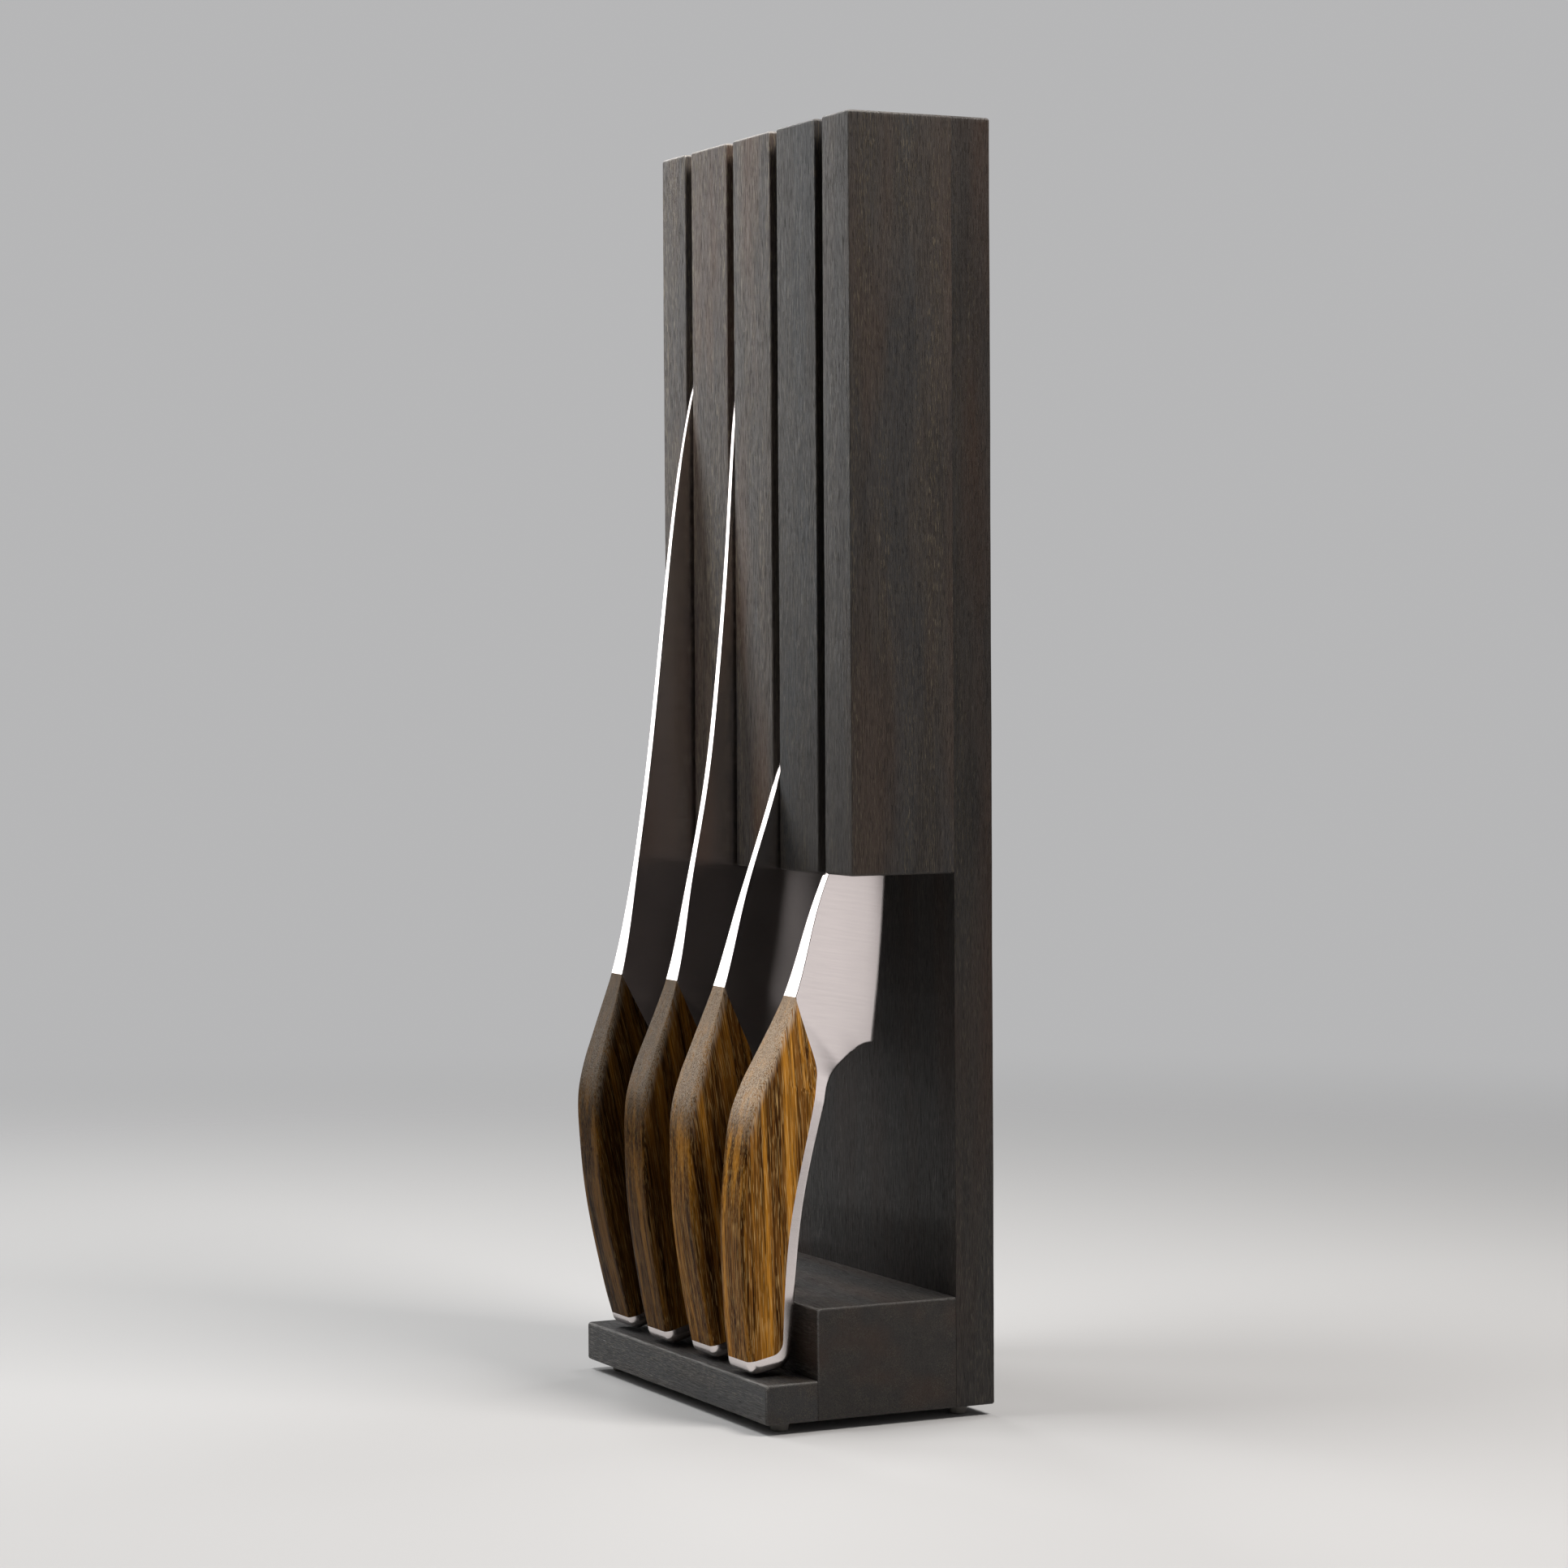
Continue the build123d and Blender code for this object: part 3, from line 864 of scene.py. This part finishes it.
# Half thickness of the knife at points of its side view, before its edges are rounded
def halfThickness(points, curves, knife):
    u, v = points[:, 0], points[:, 1]
    ridge = join(curves["front"], curves["spine"])
    backU = np.interp(v, ridge[:, 1], ridge[:, 0])
    edgeU = np.interp(v, curves["edge"][:, 1], curves["edge"][:, 0])
    edgeU = np.maximum(edgeU, backU + 1.0)
    (slantLow, slantHigh), slantShare, slantFrom = handleShape["slant"]
    behind = np.maximum(u - np.maximum(backU, slantFrom), 0)
    reach = v + smoothStep(v, slantLow, slantHigh) * slantShare * behind
    heights, halves = zip(*handleShape["thickness"])
    tipHeight = max(knife["tip"][1], heights[-1] + 10)
    thick = np.interp(
        reach, [*heights, tipHeight], [*halves, handleShape["tipThickness"]])
    grindSpan, grindDepth = handleShape["grind"]
    share = np.clip((u - backU) / (edgeU - backU), 0, 1)
    thick = thick * (1 - grindDepth * share * smoothStep(reach, *grindSpan))
    # a second, steeper bevel right at the cutting edge
    toEdge = nearest(points, curves["edge"], curves["edge"][:, 1])[0]
    thin, rise = handleShape["bevel"]
    return np.minimum(thick, thin + rise * toEdge)


# The outline from the tip down the spine and round to the heel, with how far the sides
# round over along it
def roundedOutline(curves):
    rounding, fades = handleShape["rounding"], handleShape["roundingFades"]
    ridge = join(curves["front"], curves["spine"])
    fade = smoothStep(ridge[:, 1], *fades["spine"])
    ridgeRadius = rounding["front"] + (rounding["spine"] - rounding["front"]) * fade
    toToe = 1 - smoothStep(ridge[:, 1], *fades["toe"])
    ridgeRadius += (rounding["toe"] - ridgeRadius) * toToe
    runs = [(ridge[::-1], ridgeRadius[::-1])]
    stretches = (
        ("toe", "toe", "bottom"), ("bottom", "bottom", "bottom"), ("corner", "bottom", "corner"),
        ("belly", "corner", "belly"), ("neck", "belly", "heel"))
    for name, first, last in stretches:
        curve = curves[name]
        share = smoothStep(np.linspace(0, 1, len(curve)), 0, 1)
        if name == "belly":
            share = smoothStep(curve[:, 1], *fades["belly"])
        runs.append((curve, rounding[first] + (rounding[last] - rounding[first]) * share))
    return join(*[run for run, radius in runs]), np.concatenate([radius for run, radius in runs])


def sideHalf(points, curves, knife):
    half = halfThickness(points, curves, knife)
    away, radius = nearest(points, *curves["outline"])
    radius = np.minimum(radius, half * 0.8)
    inside = np.clip(radius - away, 0, None)
    return half - radius + np.sqrt(np.maximum(radius ** 2 - inside ** 2, 0))


# Shares from 0 to 1, closer together near both ends
def crowded(count, power=1.0):
    even = (1 - np.cos(np.linspace(0, math.pi, count))) / 2
    return even * power + np.linspace(0, 1, count) * (1 - power)


# Rows from an inner to an outer run of points become rings round the steel or the wood
def ringsBetween(inner, outer, curves, knife, columns, toSpace):
    shares = crowded(columns)
    rings = []
    for start, end in zip(inner, outer):
        line = start + (end - start) * shares[:, None]
        half = sideHalf(line, curves, knife)
        right = [toSpace(h, u, v) for h, (u, v) in zip(half, line)]
        left = [toSpace(-h, u, v) for h, (u, v) in zip(half, line)]
        middle = []
        for share in (0.6, 0.2, -0.2, -0.6):
            middle.append(toSpace(half[-1] * share, *line[-1]))
        closing = [toSpace(half[0] * share, *line[0]) for share in (-0.5, 0.5)]
        rings.append(right + middle + left[::-1] + closing)
    return rings


# How many rows each stretch of a knife gets
knifeRows = {
    "toe": 15, "bottom": 12, "corner": 12, "band": 70, "shoulder": 12, "neck": 15, "heel": 8,
    "blade": 110,
    "toeEnd": 0.08,             # share of the wood's lower edge that faces the toe
    "neckTurn": 0.62,           # share of the neck beside the wood's shoulder
    "edgeStart": 0.035,         # share of the cutting edge that belongs to the heel
    "steelColumns": 22, "woodColumns": 26,
    # run, points, and how many of them repeat the run before
    "wood": [("woodCorner", 12, 0), ("woodBack", 90, 1), ("shoulder", 14, 1),
             ("shoulderLine", 24, 1)],
}


# Where a knife stands, and the directions from spine to belly and up along the handle
def knifePlace(name, knife):
    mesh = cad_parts[name + "_blade"].data
    lowest = min((v.co for v in mesh.vertices), key=lambda co: (round(co.z, 5), co.y))
    low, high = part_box(name + "_blade")
    origin = np.array([(low.x + high.x) / 2, lowest.y, lowest.z]) / mm
    lean = math.radians(knife["lean"])
    across = np.array([0, math.cos(lean), -math.sin(lean)])
    upward = np.array([0, math.sin(lean), math.cos(lean)])
    return origin, across, upward


def makeKnife(name, knife):
    curves = knifeCurves(knife)
    curves["outline"] = roundedOutline(curves)
    origin, across, upward = knifePlace(name, knife)
    side = np.array([1.0, 0, 0])

    def toSpace(x, u, v):
        return origin + side * x + across * u + upward * v

    def grainAt(places):
        away = places - origin
        return np.stack([away @ side, away @ across, away @ upward], axis=1)

    # the wood's grain runs in line with the handle's lower front and its flat sides
    heights, halves = np.array(handleShape["thickness"]).T
    ridge = join(curves["front"], curves["spine"])

    def woodGrainAt(places):
        stored = grainAt(places)
        stored[:, 0] *= halves[0] / np.interp(stored[:, 2], heights, halves)
        stored[:, 1] += handleShape["grainSlope"] * stored[:, 2]
        return stored

    # painted sheen on the handle's front above the knee
    def paintedSheenAt(places):
        stored = grainAt(places)
        away = stored[:, 1] - np.interp(stored[:, 2], ridge[:, 1], ridge[:, 0])
        fromFront, heightUp = handleShape["paintedSheen"]
        return (1 - smoothStep(away, *fromFront)) * smoothStep(stored[:, 2], *heightUp)

    # steel: pommel cap, belly band, neck and blade in one run of rows
    rows = knifeRows
    toeEnd, neckTurn, edgeStart = rows["toeEnd"], rows["neckTurn"], rows["edgeStart"]
    bladeShares = crowded(rows["blade"], 0.4)[1:]
    inner = join(
        along(curves["woodBottom"], np.linspace(0, toeEnd, rows["toe"])[:-1]),
        along(curves["woodBottom"], toeEnd + (1 - toeEnd) * crowded(rows["bottom"])[:-1]),
        along(curves["woodCorner"], np.linspace(0, 1, rows["corner"])),
        along(curves["woodBack"], np.linspace(0, 1, rows["band"])[1:]),
        along(curves["shoulder"], np.linspace(0, 1, rows["shoulder"])[1:]),
        along(curves["shoulderLine"], np.linspace(0, 1, rows["neck"] + rows["heel"] - 1)[1:]),
        along(curves["spine"], bladeShares))
    outer = join(
        along(curves["toe"], np.linspace(0, 1, rows["toe"])[:-1]),
        along(curves["bottom"], crowded(rows["bottom"])[:-1]),
        along(curves["corner"], np.linspace(0, 1, rows["corner"])),
        along(curves["belly"], np.linspace(0, 1, rows["band"])[1:]),
        along(curves["neck"], np.linspace(0, neckTurn, rows["shoulder"])[1:]),
        along(curves["neck"], np.linspace(neckTurn, 1, rows["neck"])[1:]),
        along(curves["edge"], np.linspace(0, edgeStart, rows["heel"])[1:]),
        along(curves["edge"], edgeStart + (1 - edgeStart) * bladeShares))
    rings = ringsBetween(inner, outer, curves, knife, rows["steelColumns"], toSpace)
    mesh = skinRings(name + "_steel", rings, grainAt)
    steel = makeBladeSteel("satinSteel_" + name, knife["shift"])
    addPiece(name + "_steel", mesh, steel, name, "satin_steel", name + "_blade")

    # wood insert: rows from its belly side to its front
    back = join(*[
        along(curves[run], np.linspace(0, 1, count)[skipped:])
        for run, count, skipped in rows["wood"]])
    steps = np.linalg.norm(np.diff(back, axis=0), axis=1)
    frontShares = np.concatenate([[0], np.cumsum(steps)]) / steps.sum()
    front = along(curves["handleFront"], frontShares)
    rings = ringsBetween(back, front, curves, knife, rows["woodColumns"], toSpace)
    mesh = skinRings(name + "_wood", rings, woodGrainAt, paintedSheenAt)
    oak = makeHandleOak("handleOak_" + name, knife["shift"], knife["tone"])
    addPiece(name + "_wood", mesh, oak, name, "handle_oak", name + "_handle")
    print("knife", name)


def finishHidden():
    beech = makeBeech()
    plate = makeMagnetPlate()
    for node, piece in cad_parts.items():
        if node.endswith("dowels") or node.endswith("magnets"):
            finish = beech if node.endswith("dowels") else plate
            piece.data.materials.clear()
            piece.data.materials.append(finish)
    print("dowels and magnets")


def makeFloor(spec):
    size = spec["floorSize"]
    mesh = bpy.data.meshes.new("floor")
    corners = [(-size, -size, 0), (size, -size, 0), (size, size, 0), (-size, size, 0)]
    mesh.from_pydata(corners, [], [(0, 1, 2, 3)])
    material, start = startFinish("floor")
    place = start.node("ShaderNodeTexCoord", {}, {}, output=3)
    away = start.node("ShaderNodeVectorMath", {"operation": "LENGTH"}, {0: place}, output=1)
    closeFinish(
        start, Base_Color=(*spec["floorTone"], 1), Roughness=0.75,
        Alpha=1 - away.step(*spec["floorFade"]))
    mesh.materials.append(material)
    floor = bpy.data.objects.new("floor", mesh)
    scene.collection.objects.link(floor)
    print("floor")


makeFloor(studio)
makeBlock()
makeFeet()
for knifeName, knifeSpec in knifeSet.items():
    makeKnife(knifeName, knifeSpec)
finishHidden()
